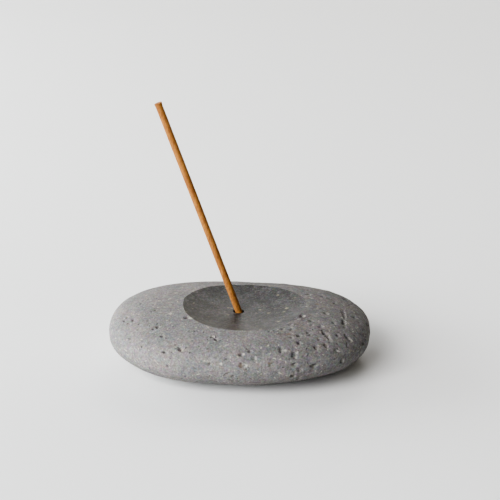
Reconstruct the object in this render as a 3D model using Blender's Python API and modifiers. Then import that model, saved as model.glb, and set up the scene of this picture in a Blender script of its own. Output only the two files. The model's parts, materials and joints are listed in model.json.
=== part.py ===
"""Stone incense burner: a river pebble with a ground ash dish, and an incense stick in it.

Units are metres, +Z is up, +X runs along the pebble's length and -Y is its front. The origin
is on the table under the middle of the pebble. The pebble's underside is ground flat there.
The stick stands in a tapered hole in the dish and leans towards -X.
"""

import math

import bmesh
import bpy
from mathutils import Matrix, Vector

# Pebble: half sizes either side of its waist, the widest section, which lies level.
HALF_LENGTH_LEFT = 0.0510
HALF_LENGTH_RIGHT = 0.0524
HALF_WIDTH = 0.0380
RISE_ABOVE_WAIST = 0.0105
DROP_BELOW_WAIST = 0.0159
PLAN_FULLNESS = 2.38  # 2 is an ellipse, and more is squarer
SECTION_FULLNESS = 2.43
END_LIFT = 0.17  # how much higher the top's ends are than its fullness alone makes them
PEBBLE_YAW = math.radians(-4.4)
GROUND_OFF_BASE = 0.0012
WAIST_HEIGHT = DROP_BELOW_WAIST - GROUND_OFF_BASE

# Ash dish: a shallow spherical hollow, ground a little wider from front to back.
DISH_CENTRE = Vector((0.0022, -0.0012))
DISH_SPHERE_RADIUS = 0.0800
DISH_STRETCH_Y = 1.15
DISH_FLOOR_HEIGHT = 0.0211

# Stick hole: tapered, so that it grips sticks of 2 to 3 mm.
HOLE_CENTRE = Vector((-0.0004, 0.0005))
HOLE_MOUTH_RADIUS = 0.0021
HOLE_BOTTOM_RADIUS = 0.00155
HOLE_DEPTH = 0.0100
STICK_LEAN = math.radians(19.5)

# Incense stick.
STICK_RADIUS = 0.00125
STICK_LENGTH = 0.1000
STICK_END_ROUNDING = 0.0003
CLEARANCE = 0.0003

# Cutters reach this far past what they cut.
OVERSHOOT = 0.0100

STONE_COLOUR = (0.29, 0.29, 0.285, 1.0)
STICK_COLOUR = (0.56, 0.26, 0.09, 1.0)


def clear_scene():
    for obj in list(bpy.data.objects):
        bpy.data.objects.remove(obj)


def make_collection(name):
    collection = bpy.data.collections.new(name)
    bpy.context.scene.collection.children.link(collection)
    return collection


def make_material(name, colour, roughness):
    material = bpy.data.materials.new(name)
    material.use_nodes = True
    shader = material.node_tree.nodes["Principled BSDF"]
    shader.inputs["Base Color"].default_value = colour
    shader.inputs["Roughness"].default_value = roughness
    shader.inputs["Metallic"].default_value = 0.0
    return material


def make_object(name, bm, collection, material=None):
    """Turns bm into a smooth-shaded object with sharp edges where two surfaces meet."""
    mesh = bpy.data.meshes.new(name)
    bm.to_mesh(mesh)
    bm.free()
    mesh.shade_smooth()
    mesh.set_sharp_from_angle(angle=math.radians(30))
    if material:
        mesh.materials.append(material)
    obj = bpy.data.objects.new(name, mesh)
    collection.objects.link(obj)
    return obj


def make_cutter(name, bm, collection):
    cutter = make_object(name, bm, collection)
    cutter.hide_render = True
    cutter.display_type = "WIRE"
    return cutter


def cut(obj, cutter):
    boolean = obj.modifiers.new("cut_" + cutter.name, "BOOLEAN")
    boolean.operation = "DIFFERENCE"
    boolean.solver = "EXACT"
    boolean.object = cutter


def on_pebble(direction):
    """The point of the uncut pebble that the ellipsoid point for this unit direction moves to."""
    half_length = HALF_LENGTH_LEFT if direction.x < 0 else HALF_LENGTH_RIGHT
    half_height = RISE_ABOVE_WAIST if direction.z > 0 else DROP_BELOW_WAIST
    plan = abs(direction.x) ** PLAN_FULLNESS + abs(direction.y) ** PLAN_FULLNESS
    section = plan ** (SECTION_FULLNESS / PLAN_FULLNESS) + abs(direction.z) ** SECTION_FULLNESS
    sizes = Vector((half_length, HALF_WIDTH, half_height))
    point = direction * sizes / section ** (1 / SECTION_FULLNESS)
    if direction.z > 0:
        point.z *= 1 + END_LIFT * (point.x / half_length) ** 2
    return point


def build_pebble(collection, material):
    """The uncut pebble, with the middle of its length and width over the origin."""
    bm = bmesh.new()
    bmesh.ops.create_icosphere(bm, subdivisions=5, radius=1.0)
    for vert in bm.verts:
        vert.co = on_pebble(vert.co.normalized())
    bmesh.ops.rotate(bm, verts=bm.verts, matrix=Matrix.Rotation(PEBBLE_YAW, 3, "Z"))
    middle_x = sum(pick(v.co.x for v in bm.verts) for pick in (min, max)) / 2
    middle_y = sum(pick(v.co.y for v in bm.verts) for pick in (min, max)) / 2
    bmesh.ops.translate(bm, verts=bm.verts, vec=(-middle_x, -middle_y, WAIST_HEIGHT))
    return make_object("stone_body", bm, collection, material)


def build_base_cutter(collection):
    """A slab whose top face is the table, which grinds the underside flat."""
    bm = bmesh.new()
    slab = Vector((4 * HALF_LENGTH_RIGHT, 4 * HALF_WIDTH, OVERSHOOT))
    bmesh.ops.create_cube(bm, size=1.0)
    bmesh.ops.scale(bm, verts=bm.verts, vec=slab)
    bmesh.ops.translate(bm, verts=bm.verts, vec=(0, 0, -slab.z / 2))
    return make_cutter("base_cutter", bm, collection)


def build_dish_cutter(collection):
    """A domed grinding wheel: the profile of its lower face, turned about the dish's axis."""
    wheel_radius = 0.0300
    rings = 13
    profile = []
    for ring in range(rings + 1):
        radius = wheel_radius * (rings - ring) / rings
        rise = DISH_SPHERE_RADIUS - math.sqrt(DISH_SPHERE_RADIUS**2 - radius**2)
        profile.append(Vector((radius, 0, rise)))
    top = profile[0].z + OVERSHOOT
    profile = [Vector((0, 0, top)), Vector((wheel_radius, 0, top))] + profile
    bm = bmesh.new()
    verts = [bm.verts.new(point) for point in profile]
    for first, second in zip(verts, verts[1:]):
        bm.edges.new((first, second))
    cutter = make_cutter("dish_cutter", bm, collection)
    screw = cutter.modifiers.new("turn", "SCREW")
    screw.axis = "Z"
    screw.steps = 96
    screw.render_steps = 96
    screw.use_merge_vertices = True
    screw.merge_threshold = 0.00001
    cutter.location = (DISH_CENTRE.x, DISH_CENTRE.y, DISH_FLOOR_HEIGHT)
    cutter.scale.y = DISH_STRETCH_Y
    return cutter


def hole_mouth():
    """The point where the stick's axis crosses the dish."""
    offset = HOLE_CENTRE - DISH_CENTRE
    off_axis = math.hypot(offset.x, offset.y / DISH_STRETCH_Y)
    rise = DISH_SPHERE_RADIUS - math.sqrt(DISH_SPHERE_RADIUS**2 - off_axis**2)
    return Vector((HOLE_CENTRE.x, HOLE_CENTRE.y, DISH_FLOOR_HEIGHT + rise))


def stick_frame(depth):
    """Placement along the stick's axis, at this depth below the hole's mouth, local +Z up it."""
    lean = Matrix.Rotation(-STICK_LEAN, 4, "Y")
    return Matrix.Translation(hole_mouth()) @ lean @ Matrix.Translation((0, 0, -depth))


def build_hole_cutter(collection):
    """A tapered burr. Its taper runs on above the mouth, where it cuts only air."""
    taper = (HOLE_MOUTH_RADIUS - HOLE_BOTTOM_RADIUS) / HOLE_DEPTH
    above_mouth = 0.0030
    length = HOLE_DEPTH + above_mouth
    bm = bmesh.new()
    bmesh.ops.create_cone(
        bm,
        cap_ends=True,
        segments=40,
        radius1=HOLE_BOTTOM_RADIUS,
        radius2=HOLE_BOTTOM_RADIUS + taper * length,
        depth=length,
    )
    bmesh.ops.translate(bm, verts=bm.verts, vec=(0, 0, length / 2))
    cutter = make_cutter("hole_cutter", bm, collection)
    cutter.matrix_world = stick_frame(HOLE_DEPTH)
    return cutter


def build_stick(collection, material):
    """The stick, standing just clear of the hole's bottom. Its origin is at its foot."""
    bm = bmesh.new()
    bmesh.ops.create_cone(
        bm,
        cap_ends=True,
        segments=32,
        radius1=STICK_RADIUS,
        radius2=STICK_RADIUS,
        depth=STICK_LENGTH,
    )
    bmesh.ops.translate(bm, verts=bm.verts, vec=(0, 0, STICK_LENGTH / 2))
    stick = make_object("incense_stick", bm, collection, material)
    bevel = stick.modifiers.new("worn_ends", "BEVEL")
    bevel.width = STICK_END_ROUNDING
    bevel.segments = 2
    bevel.limit_method = "ANGLE"
    bevel.angle_limit = math.radians(60)
    stick.matrix_world = stick_frame(HOLE_DEPTH - CLEARANCE)
    return stick


def build():
    clear_scene()
    parts = make_collection("incense_burner")
    cutters = make_collection("cutters")
    stone = make_material("stone", STONE_COLOUR, roughness=0.85)
    incense = make_material("incense", STICK_COLOUR, roughness=0.9)

    pebble = build_pebble(parts, stone)
    cut(pebble, build_base_cutter(cutters))
    cut(pebble, build_dish_cutter(cutters))
    cut(pebble, build_hole_cutter(cutters))
    build_stick(parts, incense)


build()
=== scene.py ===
"""How the stone incense burner looks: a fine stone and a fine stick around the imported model.

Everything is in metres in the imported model's frame: +Z up, +X along the stone, -Y its front.
The stone is made the way the real one was. A pebble is worn and pitted, and then the ash dish
and the stick's hole are cut into it. The stick is a rod of incense paste.
"""

import json
import math

import bmesh
import bpy
import numpy as np
from mathutils import Matrix, Vector, noise


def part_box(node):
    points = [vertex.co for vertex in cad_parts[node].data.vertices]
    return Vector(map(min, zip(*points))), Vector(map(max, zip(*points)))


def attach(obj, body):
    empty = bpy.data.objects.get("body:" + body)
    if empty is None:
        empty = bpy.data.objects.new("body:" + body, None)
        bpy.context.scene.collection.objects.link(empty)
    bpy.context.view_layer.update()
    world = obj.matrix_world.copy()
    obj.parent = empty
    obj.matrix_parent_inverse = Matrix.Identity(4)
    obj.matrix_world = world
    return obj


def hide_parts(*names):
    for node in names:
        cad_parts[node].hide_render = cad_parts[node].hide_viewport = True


MM = 0.001

# The pebble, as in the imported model: half sizes either side of its level waist.
HALF_LENGTH_LEFT = 51.0 * MM
HALF_LENGTH_RIGHT = 52.4 * MM
HALF_WIDTH = 38.0 * MM
RISE_ABOVE_WAIST = 10.5 * MM
DROP_BELOW_WAIST = 15.9 * MM
WAIST_HEIGHT = 14.7 * MM
PLAN_FULLNESS = 2.38
SECTION_FULLNESS = 2.43
END_LIFT = 0.17
PEBBLE_YAW = math.radians(-4.4)
GRID_CUTS = 119  # lines across each side of the cube that the pebble's grid is wrapped from
GRID_PULL = (0.08, -0.20, 0.20)  # draws the grid closer together on the top, front and right

# Where the real pebble swells out of the plain shape or falls short of it, and the same for the
# dish: (x, y, z, reach, height) in millimetres. At its reach, a swell has sunk to about a seventh.
PEBBLE_SWELLS = [
    (-40, 0, 22, 18, 0.3),
    (-44, -20, 10, 14, -0.4),
    (44, -4, 21, 14, -0.3),
    (-8, -29, 3, 12, -0.5),
    (14, -28, 3, 12, -0.8),
    (28, -25, 4, 12, -1.1),
    (40, -17, 5, 10, -0.4),
    (43, -2, 3, 11.5, 2.4),
    (42, 9, 3, 13, 2.2),
    (37, 20, 4, 14, 1.6),
    (47, 5, 5, 10, 1.6),
    (33, -12, 2, 9, 0.6),
    (-2, 32, 21, 18, -0.3),
    (16, 31, 21, 18, -0.25),
    (31, 26, 21, 16, -0.2),
    (47, 12, 19, 13, -0.45),
]
DISH_SWELLS = [
    (22, -14, 24, 9, 0.3),
    (27, 2, 24, 7, -0.25),
    (-14, -19, 24, 9, -0.15),
]

# The larger pits that can be told apart, as (x, y, z, half length, half width, depth) in
# millimetres and the turn of the long side from level, in degrees.
LARGE_PITS = [
    (33, -24.5, 22, 3.0, 0.8, 1.0, -58),
    (40.5, -13.5, 22.5, 2.4, 0.8, 1.0, 88),
    (41, -6, 22.5, 5.0, 0.7, 0.4, 92),
    (41.5, -23, 20, 2.0, 0.7, 0.7, -45),
    (33.5, -8, 24, 1.1, 0.8, 0.7, -40),
    (32.5, -30, 19.5, 1.4, 0.6, 0.6, -60),
    (47.5, -19, 16, 0.8, 0.7, 0.6, 0),
    (24, -12.5, 24.5, 1.2, 0.7, 0.7, 80),
    (15.5, -34, 20.5, 1.4, 0.7, 0.6, 80),
    (20.5, -35.5, 19, 1.3, 1.1, 0.8, 20),
    (22.5, -30.5, 21.5, 0.8, 0.7, 0.7, 0),
    (20.5, -37, 15.5, 1.0, 0.7, 0.6, 30),
    (28, -35, 14, 1.3, 0.8, 0.7, 10),
    (36.5, -30, 18, 0.9, 0.5, 0.5, -50),
    (26, -24.5, 23, 0.9, 0.6, 0.5, 70),
    (-31.5, -19, 23, 0.8, 0.7, 0.8, 0),
    (-33, -19.5, 22.5, 0.6, 0.5, 0.5, 0),
    (-44, -7.5, 22, 0.5, 0.5, 0.4, 0),
    (-45, -9.5, 21.5, 0.6, 0.5, 0.5, 0),
    (-41.5, -11, 22, 0.6, 0.6, 0.5, 0),
    (-29.5, -25, 21.5, 0.6, 0.5, 0.5, 0),
    (-28.5, -31.5, 18, 0.7, 0.6, 0.6, 0),
    (-33, -5.5, 24, 0.6, 0.6, 0.4, 0),
    (-39, 3, 23.5, 0.6, 0.5, 0.4, 0),
    (-27.5, -33, 13, 0.6, 0.6, 0.5, 0),
    (-20.5, -13.5, 24.5, 0.9, 0.8, 0.9, 0),
    (-22.5, -32, 19.5, 1.4, 0.7, 0.8, -60),
    (-10.5, -27.5, 22.5, 0.8, 0.5, 0.6, 20),
    (-9, -29, 22.5, 0.8, 0.7, 0.5, -60),
    (0.5, -36, 19, 0.9, 0.7, 0.8, 0),
    (3.5, -35, 20, 0.7, 0.5, 0.6, 0),
    (1, -38, 15.5, 1.7, 0.7, 0.5, 5),
    (33.5, 9, 24, 0.7, 0.5, 0.5, 0),
    (36, 8, 23.5, 0.6, 0.5, 0.4, 20),
    (38, 3.5, 23.5, 0.8, 0.5, 0.4, 60),
    (27.5, -15.5, 24.5, 1.0, 0.7, 0.5, -60),
    (22, -15.5, 24.5, 0.8, 0.5, 0.5, 30),
    (19.5, -20, 24, 0.9, 0.5, 0.4, 10),
    (16.5, -23, 23.5, 0.7, 0.5, 0.4, 0),
    (-35.5, -13.5, 23, 0.5, 0.4, 0.4, 0),
    (-25.5, -32.5, 18.5, 0.5, 0.4, 0.4, 0),
]
SMALL_PIT = 0.85 * MM  # a pit with a smaller half length is too small for light to show its depth
# How much painted shade the small and the large pits get in their colour.
SMALL_PIT_PAINTED_SHADE = 0.7
LARGE_PIT_PAINTED_SHADE = 0.3
# Shares of the way out from a pit's middle to its edge: where it meets the surface, how wide its
# wall is, where the pale ring on its wall lies and how wide that is, and how ragged all of it is.
# The pale ring is partly the fresh stone's paleness and partly a painted highlight on the wall
# that faces the windows.
PIT_LIP = 1.15
PIT_WALL = 0.5
PALE_LIT_RING = 0.95
PALE_LIT_RING_WIDTH = 0.33
PIT_RAGGEDNESS = 0.5
SCATTERED_PITS = 125
RUST_SPOTS = [  # (x, y, z, radius) in millimetres
    (30.5, 0, 24.5, 0.7),
    (18.5, -26, 23, 0.6),
    (11, -38, 16.5, 0.45),
    (0.5, -38, 15.5, 0.7),
    (28, -35, 14, 0.6),
    (-22, -32.5, 19.5, 0.7),
    (-9, -29, 22.5, 0.6),
]
PALE_CHIPS = [  # (x, y, z, radius) in millimetres
    (-19, -14, 24.5, 0.6),
    (33.5, 11.5, 23.5, 0.35),
    (29, 5.5, 24.5, 0.35),
    (3, -38, 15.5, 0.5),
    (1.5, -36, 19.5, 0.4),
    (17, -34.5, 20, 0.5),
    (25, -12, 24.5, 0.5),
    (20, -21.5, 23.5, 0.5),
    (-7, -37.5, 16, 0.5),
    (-11, -37, 11, 0.5),
    (-21.5, -32.5, 19.5, 0.4),
    (8, 1.5, 21.5, 0.4),
    (11.5, -2.5, 21.5, 0.4),
    (18.5, -0.5, 23, 0.7),
    (17.5, -3.5, 22.5, 0.5),
    (15, -14, 23, 0.5),
    (8, -22, 23.5, 0.4),
    (15.5, 12.5, 23, 0.4),
    (-4.5, 3.5, 21.5, 0.3),
    (-4.5, -3.5, 21.5, 0.3),
    (5, -5.5, 21.5, 0.3),
    (3, -21, 23, 0.3),
]

# The dish and the hole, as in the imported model.
DISH_CENTRE = Vector((2.2, -1.2, 21.1)) * MM
DISH_SPHERE_RADIUS = 80.0 * MM
DISH_STRETCH_Y = 1.15
HOLE_X = -0.4 * MM
HOLE_Y = 0.5 * MM
HOLE_MOUTH_RADIUS = 2.1 * MM
HOLE_BOTTOM_RADIUS = 1.55 * MM
HOLE_DEPTH = 10.0 * MM

# How uneven the pebble is: (height, extra height where it is coarse, wavelength) in millimetres.
UNEVENNESS = [
    (0.15, 0, 14),
    (0.06, 0.12, 4.5),
    (0.03, 0.05, 1.7),
]

COOL = (0.95, 1.0, 1.0)  # the colour of daylight from the left
WARM = (0.98, 0.92, 0.80)  # the colour of light that has bounced off a wooden wall

FLOOR_HALF_SIZE = 4.0

# Where the camera stands and how it is turned.
CAMERA_DISTANCE = 560 * MM
CAMERA_ELEVATION = math.radians(24.0)
CAMERA_PITCH = math.radians(20.6)
CAMERA_YAW = math.radians(-0.42)
CAMERA_LENS = 100.8  # in millimetres, on a 36 mm sensor
STONE_MIDDLE = Vector((0.35, -0.08, 11.9)) * MM


# --- Shared helpers -------------------------------------------------------------------------


def link(obj):
    bpy.context.scene.collection.objects.link(obj)
    return obj


def read_points(mesh):
    points = np.empty(len(mesh.vertices) * 3, np.float32)
    mesh.vertices.foreach_get("co", points)
    return points.reshape(-1, 3).astype(float)


def read_normals(mesh):
    normals = np.empty(len(mesh.vertices) * 3, np.float32)
    mesh.vertex_normals.foreach_get("vector", normals)
    return normals.reshape(-1, 3).astype(float)


def write_points(mesh, points):
    mesh.vertices.foreach_set("co", points.astype(np.float32).ravel())
    mesh.update()


def write_mask(mesh, name, values):
    """Stores one number per vertex, which materials read by name."""
    layer = mesh.attributes.new(name, "FLOAT", "POINT")
    layer.data.foreach_set("value", values.astype(np.float32))


def smoothstep(values):
    t = np.clip(values, 0, 1)
    return t * t * (3 - 2 * t)


def smooth_noise(points, wavelength, seed):
    """Noise between about -1 and 1, at each point, that changes over this wavelength."""
    shift = Vector((seed * 13.7, seed * -7.3, seed * 3.1))
    return np.array([noise.noise(Vector(p) / wavelength + shift) for p in points])


def swelling(points, swells):
    """How far each point is raised by a list of soft swells."""
    height = np.zeros(len(points))
    for x, y, z, reach, rise in swells:
        away = ((points - np.array((x, y, z)) * MM) ** 2).sum(axis=1)
        height += rise * MM * np.exp(-away / (0.5 * (reach * MM) ** 2))
    return height


def spotting(points, spots, edge_noise):
    """A mask from 0 to 1 with a soft, ragged spot at each place in a list."""
    mask = np.zeros(len(points))
    for x, y, z, radius in spots:
        away = np.sqrt(((points - np.array((x, y, z)) * MM) ** 2).sum(axis=1)) / (radius * MM)
        mask = np.maximum(mask, smoothstep(1.6 - away + 0.5 * edge_noise))
    return mask


def coarseness(points):
    """How coarse the stone is, from 0 at its smooth left end to 1 on its rough right half."""
    return smoothstep((points[:, 0] + 25 * MM) / (50 * MM))


def cut(obj, cutter):
    """Cuts obj with cutter for good, and removes the cutter."""
    boolean = obj.modifiers.new("cut", "BOOLEAN")
    boolean.operation = "DIFFERENCE"
    boolean.solver = "EXACT"
    boolean.material_mode = "TRANSFER"
    boolean.object = cutter
    depsgraph = bpy.context.evaluated_depsgraph_get()
    cut_mesh = bpy.data.meshes.new_from_object(obj.evaluated_get(depsgraph))
    obj.modifiers.clear()
    obj.data = cut_mesh
    bpy.data.objects.remove(cutter)


# --- Material building blocks ---------------------------------------------------------------


class Nodes:
    """A material's node tree, with short ways to add the nodes that these materials use."""

    def __init__(self, name):
        self.material = bpy.data.materials.new(name)
        self.material.use_nodes = True
        self.tree = self.material.node_tree
        self.shader = self.tree.nodes["Principled BSDF"]
        self.place = self.add("ShaderNodeTexCoord").outputs["Object"]

    def add(self, kind, **settings):
        node = self.tree.nodes.new(kind)
        for name, value in settings.items():
            setattr(node, name, value)
        return node

    def join(self, source, socket):
        self.tree.links.new(source, socket)

    def feed(self, socket, value):
        """Links value to socket if it is another node's output, or else sets it."""
        if isinstance(value, bpy.types.NodeSocket):
            self.join(value, socket)
        else:
            socket.default_value = value

    def noise(self, size, detail=2.0, roughness=0.5, place=None):
        """Noise from 0 to 1 with blotches of about this size, in metres."""
        node = self.add("ShaderNodeTexNoise")
        self.feed(node.inputs["Vector"], place or self.place)
        node.inputs["Scale"].default_value = 1 / size
        node.inputs["Detail"].default_value = detail
        node.inputs["Roughness"].default_value = roughness
        return node.outputs["Fac"]

    def cells(self, size, output="Distance", place=None):
        """Crystal-like cells of about this size, in metres."""
        node = self.add("ShaderNodeTexVoronoi")
        self.feed(node.inputs["Vector"], place or self.place)
        node.inputs["Scale"].default_value = 1 / size
        return node.outputs[output]

    def ramp(self, value, low, high, to_low=0.0, to_high=1.0):
        """Maps low..high to to_low..to_high smoothly, and holds it beyond both ends."""
        node = self.add("ShaderNodeMapRange", interpolation_type="SMOOTHSTEP")
        self.feed(node.inputs["Value"], value)
        node.inputs["From Min"].default_value = low
        node.inputs["From Max"].default_value = high
        node.inputs["To Min"].default_value = to_low
        node.inputs["To Max"].default_value = to_high
        return node.outputs["Result"]

    def math(self, operation, first, second):
        node = self.add("ShaderNodeMath", operation=operation)
        self.feed(node.inputs[0], first)
        self.feed(node.inputs[1], second)
        return node.outputs["Value"]

    def mix(self, amount, first, second, blend="MIX"):
        """Mixes two colours."""
        node = self.add("ShaderNodeMix", data_type="RGBA", blend_type=blend)
        self.feed(node.inputs["Factor"], amount)
        self.feed(node.inputs["A"], first)
        self.feed(node.inputs["B"], second)
        return node.outputs["Result"]

    def single(self, colour):
        """One number from a colour."""
        node = self.add("ShaderNodeSeparateColor")
        self.join(colour, node.inputs["Color"])
        return node.outputs["Red"]

    def tint(self, colour, factor):
        """A colour made darker or lighter by a factor."""
        node = self.add("ShaderNodeVectorMath", operation="SCALE")
        self.feed(node.inputs[0], colour)
        self.join(factor, node.inputs["Scale"])
        return node.outputs["Vector"]

    def mask(self, name):
        """A number stored on the mesh's vertices."""
        return self.add("ShaderNodeAttribute", attribute_name=name).outputs["Fac"]

    def bump(self, height, depth):
        """The normal of bumps this deep, in metres."""
        node = self.add("ShaderNodeBump")
        node.inputs["Strength"].default_value = 1.0
        node.inputs["Distance"].default_value = depth
        self.join(height, node.inputs["Height"])
        return node.outputs["Normal"]

    def finish(self, colour, roughness, specular, normal=None):
        self.feed(self.shader.inputs["Base Color"], colour)
        self.feed(self.shader.inputs["Roughness"], roughness)
        self.shader.inputs["Specular IOR Level"].default_value = specular
        if normal:
            self.join(normal, self.shader.inputs["Normal"])
        return self.material


def grey(value, warmth=0.0):
    """A grey of this brightness, a little redder, and a little less blue, as it gets warmer."""
    return (value * (1 + warmth), value, value * (1 - 0.25 * warmth), 1.0)


# --- Materials ------------------------------------------------------------------------------


def stone_outside():
    """River-worn basalt: matte grey with a fine salt-and-pepper grain, and painted shade and
    highlights in its pits.
    """
    n = Nodes("stone_outside")
    grain = n.noise(0.65 * MM, detail=3, roughness=0.65)
    pinhole = n.ramp(n.cells(3.3 * MM, place=warped(n)), 0.095, 0.145, 1.0, 0.0)
    fleck = n.ramp(n.cells(2.2 * MM, place=warped(n)), 0.13, 0.2, 1.0, 0.0)
    # Painted shade: the pinholes and pits are darkened, standing in for the shade inside them.
    dark = n.math("MAXIMUM", n.math("MULTIPLY", pinhole, 0.6), n.mask("pit_painted_shade"))
    # Pale fresh stone on pit walls, with a painted highlight where a wall faces the windows.
    pale = n.math("MULTIPLY", n.mask("pit_pale_and_lit"), n.ramp(grain, 0.3, 0.6, 0.1, 0.55))
    colour = weathered_grey(n, grain)
    colour = n.mix(n.math("MULTIPLY", fleck, 0.5), colour, (0.46, 0.43, 0.36, 1.0))
    colour = n.mix(n.math("MULTIPLY", n.mask("chip"), 0.65), colour, (0.50, 0.47, 0.40, 1.0))
    colour = n.mix(rusty(n, grain), colour, (0.16, 0.105, 0.07, 1.0))
    colour = n.mix(dark, colour, grey(0.045, 0.1))
    colour = n.mix(pale, colour, (0.37, 0.355, 0.325, 1.0))
    pores = n.math("SUBTRACT", grain, n.math("MULTIPLY", pinhole, 1.5))
    return n.finish(colour, 0.9, specular=0.3, normal=n.bump(pores, 0.12 * MM))


def weathered_grey(n, grain):
    """Broad mottles, darker over the coarse right half as partly painted shade, with crystals and
    a fine grain in them.
    """
    mottle = n.noise(9 * MM, detail=4, roughness=0.6)
    crystals = n.single(n.cells(1.0 * MM, output="Color"))
    colour = n.mix(n.ramp(mottle, 0.32, 0.68), grey(0.172, 0.02), grey(0.193, 0.085))
    # Up to 15% darker over the coarse right half: partly the coarse stone's own tone, partly
    # painted shade on the side away from the windows.
    colour = n.tint(colour, n.ramp(n.mask("coarse"), 0.2, 1.0, 1.0, 0.85))
    colour = n.tint(colour, n.ramp(crystals, 0.0, 1.0, 0.9, 1.1))
    colour = n.tint(colour, n.ramp(grain, 0.33, 0.67, 0.76, 1.22))
    return n.mix(0.11, colour, n.cells(0.9 * MM, output="Color"), blend="SOFT_LIGHT")


def rusty(n, grain):
    """Where iron has rusted, from 0 to 1: faint blotches anywhere, and the spots in RUST_SPOTS."""
    blotch = n.ramp(n.noise(6 * MM, detail=4, roughness=0.7), 0.66, 0.74)
    spots = n.math("MAXIMUM", n.math("MULTIPLY", blotch, 0.5), n.mask("rust"))
    return n.math("MULTIPLY", spots, n.ramp(grain, 0.35, 0.6, 0.35, 0.8))


def warped(n):
    """The material's place, pushed about so that cells lose their even spacing."""
    push = n.add("ShaderNodeTexNoise")
    n.feed(push.inputs["Vector"], n.place)
    push.inputs["Scale"].default_value = 1 / (7 * MM)
    scaled = n.add("ShaderNodeVectorMath", operation="SCALE")
    n.join(push.outputs["Color"], scaled.inputs[0])
    scaled.inputs["Scale"].default_value = 9 * MM
    moved = n.add("ShaderNodeVectorMath", operation="ADD")
    n.join(n.place, moved.inputs[0])
    n.join(scaled.outputs["Vector"], moved.inputs[1])
    return moved.outputs["Vector"]


def stone_honed():
    """The ground dish: the same basalt, darker and half polished."""
    n = Nodes("stone_honed")
    mottle = n.noise(7 * MM, detail=3)
    grain = n.noise(0.7 * MM, detail=4, roughness=0.7)
    crystals = n.single(n.cells(1.1 * MM, output="Color"))
    colour = n.mix(n.ramp(mottle, 0.3, 0.7), grey(0.045, 0.035), grey(0.067, 0.035))
    colour = n.tint(colour, n.ramp(crystals, 0.0, 1.0, 0.75, 1.25))
    colour = n.tint(colour, n.ramp(grain, 0.33, 0.67, 0.55, 1.5))
    colour = n.mix(0.14, colour, n.cells(0.9 * MM, output="Color"), blend="SOFT_LIGHT")
    fleck = n.ramp(n.cells(3.3 * MM, place=warped(n)), 0.08, 0.13, 1.0, 0.0)
    colour = n.mix(n.math("MULTIPLY", fleck, 0.5), colour, (0.24, 0.215, 0.14, 1.0))
    dust = n.ramp(n.cells(1.3 * MM), 0.10, 0.18, 0.28, 0.0)
    colour = n.mix(dust, colour, (0.25, 0.24, 0.22, 1.0))
    colour = n.mix(n.math("MULTIPLY", n.mask("chip"), 0.6), colour, (0.36, 0.32, 0.21, 1.0))
    roughness = n.ramp(grain, 0.3, 0.7, 0.32, 0.48)
    return n.finish(colour, roughness, specular=0.12, normal=n.bump(grain, 0.03 * MM))


def stone_drilled():
    """The hole's wall: rough dark stone."""
    n = Nodes("stone_drilled")
    grain = n.noise(0.5 * MM, detail=3)
    colour = n.mix(grain, grey(0.03), grey(0.09))
    return n.finish(colour, 0.95, specular=0.2, normal=n.bump(grain, 0.15 * MM))


def incense_paste():
    """Pressed wood and spice powder: orange-brown, fibrous and dry."""
    n = Nodes("incense_paste")
    along = n.add("ShaderNodeMapping")
    n.join(n.place, along.inputs["Vector"])
    along.inputs["Rotation"].default_value = (0, stick_lean(), 0)
    along.inputs["Scale"].default_value = (1, 1, 0.3)
    powder = n.noise(0.45 * MM, detail=4, roughness=0.7, place=along.outputs["Vector"])
    blotch = n.noise(3 * MM, detail=3, place=along.outputs["Vector"])
    brown = (0.305, 0.136, 0.042, 1.0)
    orange = (0.385, 0.183, 0.056, 1.0)
    dark_speck = (0.17, 0.06, 0.028, 1.0)
    colour = n.mix(n.ramp(blotch, 0.35, 0.65), brown, orange)
    colour = n.mix(n.ramp(powder, 0.36, 0.58, 0.7, 0.0), colour, dark_speck)
    return n.finish(colour, 0.88, specular=0.25, normal=n.bump(powder, 0.12 * MM))


def studio_paper():
    """Matt white paper, a little greyer at the front of the stone than behind it: a painted light
    falloff.
    """
    n = Nodes("studio_paper")
    split = n.add("ShaderNodeSeparateXYZ")
    n.join(n.place, split.inputs["Vector"])
    # Painted light: the paper's colour brightens towards the back, as light falling off would.
    painted_light_towards_back = n.ramp(split.outputs["Y"], -140 * MM, 300 * MM)
    return n.finish(n.mix(painted_light_towards_back, grey(0.815), grey(0.872)), 0.9, specular=0.2)


# --- The stone ------------------------------------------------------------------------------


def pebble_mesh():
    """A cube's even grid wrapped onto the pebble's shape."""
    bm = bmesh.new()
    bmesh.ops.create_cube(bm, size=2.0)
    bmesh.ops.subdivide_edges(bm, edges=bm.edges[:], cuts=GRID_CUTS, use_grid_fill=True)
    mesh = bpy.data.meshes.new("stone")
    bm.to_mesh(mesh)
    bm.free()
    rays = normalised(np.tan(read_points(mesh) * math.pi / 4))
    write_points(mesh, on_pebble(normalised(rays + GRID_PULL)))
    return mesh


def normalised(vectors):
    return vectors / np.linalg.norm(vectors, axis=1, keepdims=True)


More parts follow.
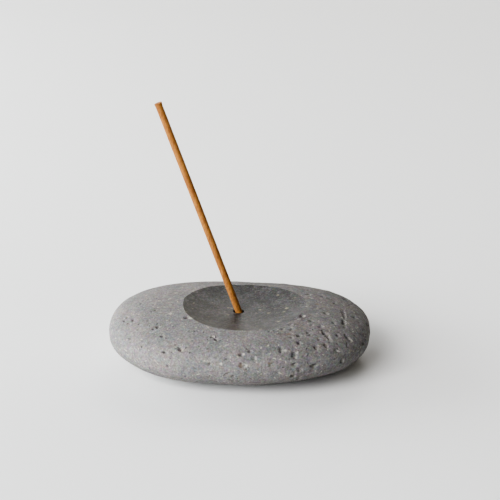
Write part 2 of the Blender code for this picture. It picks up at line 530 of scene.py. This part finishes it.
def on_pebble(directions):
    """Where the unit sphere's points go on the uncut pebble."""
    x, y, z = np.abs(directions.T)
    half_length = np.where(directions[:, 0] < 0, HALF_LENGTH_LEFT, HALF_LENGTH_RIGHT)
    above = directions[:, 2] > 0
    half_height = np.where(above, RISE_ABOVE_WAIST, DROP_BELOW_WAIST)
    plan = x**PLAN_FULLNESS + y**PLAN_FULLNESS
    section = plan ** (SECTION_FULLNESS / PLAN_FULLNESS) + z**SECTION_FULLNESS
    sizes = np.stack([half_length, np.full_like(x, HALF_WIDTH), half_height], axis=1)
    points = directions * sizes / section[:, None] ** (1 / SECTION_FULLNESS)
    lift = 1 + END_LIFT * (points[:, 0] / half_length) ** 2
    points[:, 2] *= np.where(above, lift, 1)
    points = points @ np.array(Matrix.Rotation(PEBBLE_YAW, 3, "Z")).T
    middle = (points.min(axis=0) + points.max(axis=0)) / 2
    return points + (-middle[0], -middle[1], WAIST_HEIGHT)


def wear(mesh):
    """Makes the pebble uneven, as the river and its own coarse texture left it."""
    points = read_points(mesh)
    normals = read_normals(mesh)
    coarse = coarseness(points)
    height = swelling(points, PEBBLE_SWELLS)
    for seed, (everywhere, if_coarse, wavelength) in enumerate(UNEVENNESS, start=1):
        rise = (everywhere + if_coarse * coarse) * MM
        height += rise * smooth_noise(points, wavelength * MM, seed)
    write_points(mesh, points + normals * height[:, None])


def scatter_pits(points, random):
    """Small pits anywhere, listed as LARGE_PITS are: more of them and larger where coarse."""
    coarse = coarseness(points)
    chosen = []
    while len(chosen) < SCATTERED_PITS:
        index = random.integers(len(points))
        if random.random() > 0.1 + 0.9 * coarse[index]:
            continue
        half = 0.45 + 0.25 * random.random() + 0.7 * coarse[index] * random.random() ** 3
        width = half * random.uniform(0.55, 1.0)
        depth = half * random.uniform(0.35, 0.7)
        turn = random.uniform(-90, 90)
        chosen.append((*points[index] / MM, half, width, depth, turn))
    return chosen


def sink_pits(mesh, pits):
    """Presses the pits into the mesh, and stores their painted shade and their pale, painted-lit
    walls.

    A pit's right wall faces the windows on the left and gets a painted highlight on top of its
    fresh, pale stone.
    """
    points = read_points(mesh)
    normals = read_normals(mesh)
    wobble = smooth_noise(points, 0.8 * MM, 5)
    sink = np.zeros(len(points))
    pale = np.zeros(len(points))
    dark = np.zeros(len(points))
    coarse = coarseness(points)
    for x, y, z, *sizes, turn in pits:
        half, width, depth = np.array(sizes) * MM  # half length, half width, depth
        away = ((points - np.array((x, y, z)) * MM) ** 2).sum(axis=1)
        nearest = np.argmin(away)
        offset = points - points[nearest]
        near = np.flatnonzero((offset**2).sum(axis=1) < (1.7 * half) ** 2)
        along, across = surface_axes(normals[nearest], math.radians(turn))
        reach = np.hypot(offset[near] @ along / half, offset[near] @ across / width)
        reach -= PIT_RAGGEDNESS * wobble[near]
        shape = smoothstep((PIT_LIP - reach) / PIT_WALL)
        sink[near] = np.maximum(sink[near], depth * shape)
        ring = np.exp(-(((reach - PALE_LIT_RING) / PALE_LIT_RING_WIDTH) ** 2))
        # Painted highlight: the pale ring is kept on the wall that faces the windows on the left.
        facing_left = np.clip(0.1 + offset[near, 0] / width, 0, 1)
        pale[near] = np.maximum(pale[near], ring * facing_left)
        # Painted shade in the pit, weaker on the coarse right half.
        painted_shade = SMALL_PIT_PAINTED_SHADE if half < SMALL_PIT else LARGE_PIT_PAINTED_SHADE
        dark[near] = np.maximum(dark[near], shape * painted_shade * (1 - 0.5 * coarse[near]))
    write_points(mesh, points - normals * sink[:, None])
    write_mask(mesh, "pit_pale_and_lit", pale)
    write_mask(mesh, "pit_painted_shade", dark)


def surface_axes(normal, turn):
    """Two directions along the surface: one turned this far from level, and one across it."""
    level = np.array((1.0, 0, 0)) - normal[0] * normal
    level /= np.linalg.norm(level)
    up = np.cross(normal, level)
    along = level * math.cos(turn) + up * math.sin(turn)
    return along, np.cross(normal, along)


def stain(mesh):
    """Stores where the rust spots and the pale chips are, and how coarse the stone is."""
    points = read_points(mesh)
    edge_noise = smooth_noise(points, 0.9 * MM, 4)
    write_mask(mesh, "rust", spotting(points, RUST_SPOTS, edge_noise))
    write_mask(mesh, "chip", spotting(points, PALE_CHIPS, edge_noise))
    # The outside's colour darkens by this mask: partly the coarse stone's tone, partly painted
    # shade on the right half.
    write_mask(mesh, "coarse", coarseness(points))


def grind_base(mesh):
    """Flattens the underside at the table, with a slightly worn edge."""
    points = read_points(mesh)
    edge = 0.4 * MM
    z = points[:, 2]
    blend = np.clip(0.5 + 0.5 * z / edge, 0, 1)
    points[:, 2] = z * blend + edge * blend * (1 - blend)
    write_points(mesh, points)


def dish_cutter(material):
    """A closed block whose lower face is the dish's fine-gridded sphere."""
    bm = bmesh.new()
    half_size = 29 * MM
    block_top = 20 * MM
    steps = 116
    bmesh.ops.create_grid(bm, x_segments=steps, y_segments=steps, size=half_size)
    bmesh.ops.extrude_face_region(bm, geom=bm.faces[:], use_keep_orig=True)
    bm.verts.ensure_lookup_table()
    sheet = len(bm.verts) // 2  # the grid's own points come first, and then their copies
    for vert in bm.verts[:sheet]:
        flat = vert.co.copy()
        vert.co.z = DISH_SPHERE_RADIUS - math.sqrt(DISH_SPHERE_RADIUS**2 - flat.length_squared)
    for vert in bm.verts[sheet:]:
        vert.co.z = block_top
    bmesh.ops.scale(bm, verts=bm.verts, vec=(1, DISH_STRETCH_Y, 1))
    bmesh.ops.translate(bm, verts=bm.verts, vec=DISH_CENTRE)
    lift = swelling(np.array([vert.co for vert in bm.verts]), DISH_SWELLS)
    for vert, rise in zip(bm.verts[:sheet], lift[:sheet]):
        vert.co.z += rise
    bmesh.ops.recalc_face_normals(bm, faces=bm.faces)
    return cutter_object("dish_cutter", bm, material)


def hole_cutter(material):
    """A tapered burr on the stick's axis. Its taper runs on above the mouth."""
    taper = (HOLE_MOUTH_RADIUS - HOLE_BOTTOM_RADIUS) / HOLE_DEPTH
    above_mouth = 3 * MM
    length = HOLE_DEPTH + above_mouth
    bm = bmesh.new()
    bmesh.ops.create_cone(
        bm,
        cap_ends=True,
        segments=64,
        radius1=HOLE_BOTTOM_RADIUS,
        radius2=HOLE_BOTTOM_RADIUS + taper * length,
        depth=length,
    )
    bmesh.ops.translate(bm, verts=bm.verts, vec=(0, 0, length / 2 - HOLE_DEPTH))
    bmesh.ops.transform(bm, verts=bm.verts, matrix=stick_frame())
    return cutter_object("hole_cutter", bm, material)


def cutter_object(name, bm, material):
    mesh = bpy.data.meshes.new(name)
    bm.to_mesh(mesh)
    bm.free()
    mesh.materials.append(material)
    return link(bpy.data.objects.new(name, mesh))


def crease_cut_edges(mesh):
    """Marks the rim and the hole's mouth sharp: the edges where two finishes meet."""
    bm = bmesh.new()
    bm.from_mesh(mesh)
    for face in bm.faces:
        face.smooth = True
    for edge in bm.edges:
        kinds = {face.material_index for face in edge.link_faces}
        edge.smooth = len(kinds) == 1
    bm.to_mesh(mesh)
    bm.free()


def build_stone():
    mesh = pebble_mesh()
    mesh.materials.append(stone_outside())
    wear(mesh)
    scattered = scatter_pits(read_points(mesh), np.random.default_rng(11))
    sink_pits(mesh, LARGE_PITS + scattered)
    grind_base(mesh)
    stone = link(bpy.data.objects.new("stone", mesh))
    cut(stone, dish_cutter(stone_honed()))
    cut(stone, hole_cutter(stone_drilled()))
    crease_cut_edges(stone.data)
    stain(stone.data)
    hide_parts("stone_body")
    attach(stone, "stone")


# --- The stick ------------------------------------------------------------------------------


def stick_axis():
    """The stick's own direction, which is the direction it lifts out in."""
    lift = next(j for j in frame["joints"] if j["name"] == "stick_lift")
    return Vector(lift["axis"]).normalized()


def stick_lean():
    """The angle that the stick leans towards -X."""
    axis = stick_axis()
    return math.atan2(-axis.x, axis.z)


def hole_mouth():
    """The point where the stick's axis crosses the dish."""
    off_axis = math.hypot(HOLE_X - DISH_CENTRE.x, (HOLE_Y - DISH_CENTRE.y) / DISH_STRETCH_Y)
    rise = DISH_SPHERE_RADIUS - math.sqrt(DISH_SPHERE_RADIUS**2 - off_axis**2)
    return Vector((HOLE_X, HOLE_Y, DISH_CENTRE.z + rise))


def stick_frame():
    """Placement with local +Z up the stick's axis, from the hole's mouth."""
    lean = Matrix.Rotation(-stick_lean(), 4, "Y")
    return Matrix.Translation(hole_mouth()) @ lean


def stick_size():
    """The stick's length, radius and middle, from its box in the frame."""
    low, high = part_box("incense_stick")
    radius = (high.y - low.y) / 2
    length = (high.z - low.z - 2 * radius * math.sin(stick_lean())) / math.cos(stick_lean())
    return length, radius, (low + high) / 2


def build_stick():
    length, radius, middle = stick_size()
    columns = 48
    rings = 300
    bm = bmesh.new()
    bmesh.ops.create_cone(
        bm, cap_ends=True, segments=columns, radius1=radius, radius2=radius, depth=length
    )
    walls = [e for e in bm.edges if abs(e.verts[0].co.z - e.verts[1].co.z) > length / 2]
    bmesh.ops.subdivide_edges(bm, edges=walls, cuts=rings - 1, use_grid_fill=True)
    mesh = bpy.data.meshes.new("stick")
    bm.to_mesh(mesh)
    bm.free()
    roughen_stick(mesh, length, radius)
    mesh.transform(Matrix.Translation(middle) @ Matrix.Rotation(-stick_lean(), 4, "Y"))
    mesh.shade_smooth()
    mesh.set_sharp_from_angle(angle=math.radians(50))
    mesh.materials.append(incense_paste())
    stick = link(bpy.data.objects.new("stick", mesh))
    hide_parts("incense_stick")
    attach(stick, "stick")


def roughen_stick(mesh, length, radius):
    """Extruded paste: faint lengthwise ridges, a coarse skin and a slightly flared cut top."""
    swollen = 0.11 * MM
    flare = 0.12 * MM
    flare_length = 1.5 * MM
    points = read_points(mesh)
    outward = points * (1, 1, 0) / radius
    stretched = points * (1, 1, 0.12)
    height = swollen + 0.025 * MM * smooth_noise(stretched, 0.7 * MM, 6)
    height += 0.025 * MM * smooth_noise(points, 0.8 * MM, 7)
    below_top = length / 2 - points[:, 2]
    height += flare * smoothstep(1 - below_top / flare_length)
    write_points(mesh, points + outward * height[:, None])


# --- The studio -----------------------------------------------------------------------------


def build_floor():
    bm = bmesh.new()
    bmesh.ops.create_grid(bm, x_segments=1, y_segments=1, size=FLOOR_HALF_SIZE)
    mesh = bpy.data.meshes.new("floor")
    bm.to_mesh(mesh)
    bm.free()
    mesh.materials.append(studio_paper())
    link(bpy.data.objects.new("floor", mesh))


def add_window(name, azimuth, elevation, distance, size, power, colour=(1, 1, 1)):
    """A soft light. Azimuth 0 is in front, at -Y, and 90 is at -X, in degrees."""
    light = bpy.data.lights.new(name, "AREA")
    light.shape = "RECTANGLE"
    light.size, light.size_y = size
    light.energy = power
    light.color = colour
    lamp = link(bpy.data.objects.new(name, light))
    turn, up = math.radians(azimuth), math.radians(elevation)
    flat = math.cos(up)
    away = Vector((-math.sin(turn) * flat, -math.cos(turn) * flat, math.sin(up)))
    lamp.location = STONE_MIDDLE + away * distance
    lamp.rotation_euler = away.to_track_quat("Z", "Y").to_euler()


def build_lights():
    """Daylight from windows on the left and in front, and what the walls and ceiling send back."""
    add_window("left_window_front", 74, 11, distance=1.0, size=(0.9, 0.5), power=8.9, colour=COOL)
    add_window("left_window_back", 112, 11, distance=1.0, size=(0.9, 0.5), power=10, colour=COOL)
    add_window("front_window", 38.4, 31, distance=3.0, size=(2.1, 2.0), power=123)
    add_window("back_left_wall", 150, 18, distance=2.5, size=(3.0, 2.0), power=22.2)
    add_window("back_right_wall", 209, 18, distance=2.5, size=(3.0, 2.0), power=20, colour=WARM)
    add_window("back_ceiling", 190, 40, distance=3.0, size=(1.6, 1.4), power=16.5)
    add_window("left_ceiling", 121, 60, distance=3.0, size=(1.6, 1.6), power=5.8)
    add_window("right_corner", 230, 12, distance=3.0, size=(1.8, 1.4), power=8.8, colour=WARM)
    world = bpy.data.worlds.new("room")
    world.use_nodes = True
    world.node_tree.nodes["Background"].inputs["Strength"].default_value = 0.0
    bpy.context.scene.world = world
    view = bpy.context.scene.view_settings
    view.view_transform = "AgX"
    view.look = "AgX - High Contrast"


def build_camera():
    camera = bpy.data.cameras.new("camera")
    camera.lens = CAMERA_LENS
    camera.clip_end = 5 * FLOOR_HALF_SIZE
    obj = link(bpy.data.objects.new("camera", camera))
    back = Vector((0, -math.cos(CAMERA_ELEVATION), math.sin(CAMERA_ELEVATION)))
    obj.location = STONE_MIDDLE + back * CAMERA_DISTANCE
    obj.rotation_euler = (math.pi / 2 - CAMERA_PITCH, 0, CAMERA_YAW)
    bpy.context.scene.camera = obj


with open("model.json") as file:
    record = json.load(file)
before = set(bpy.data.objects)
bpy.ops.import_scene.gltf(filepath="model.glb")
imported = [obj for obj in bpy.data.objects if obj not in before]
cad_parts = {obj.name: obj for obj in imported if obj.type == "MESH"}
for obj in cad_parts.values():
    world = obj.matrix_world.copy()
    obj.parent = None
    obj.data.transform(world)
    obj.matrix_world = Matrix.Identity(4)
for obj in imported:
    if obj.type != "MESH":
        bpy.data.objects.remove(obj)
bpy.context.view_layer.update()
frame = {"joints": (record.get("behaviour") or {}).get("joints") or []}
build_camera()
build_lights()
build_floor()
build_stone()
build_stick()
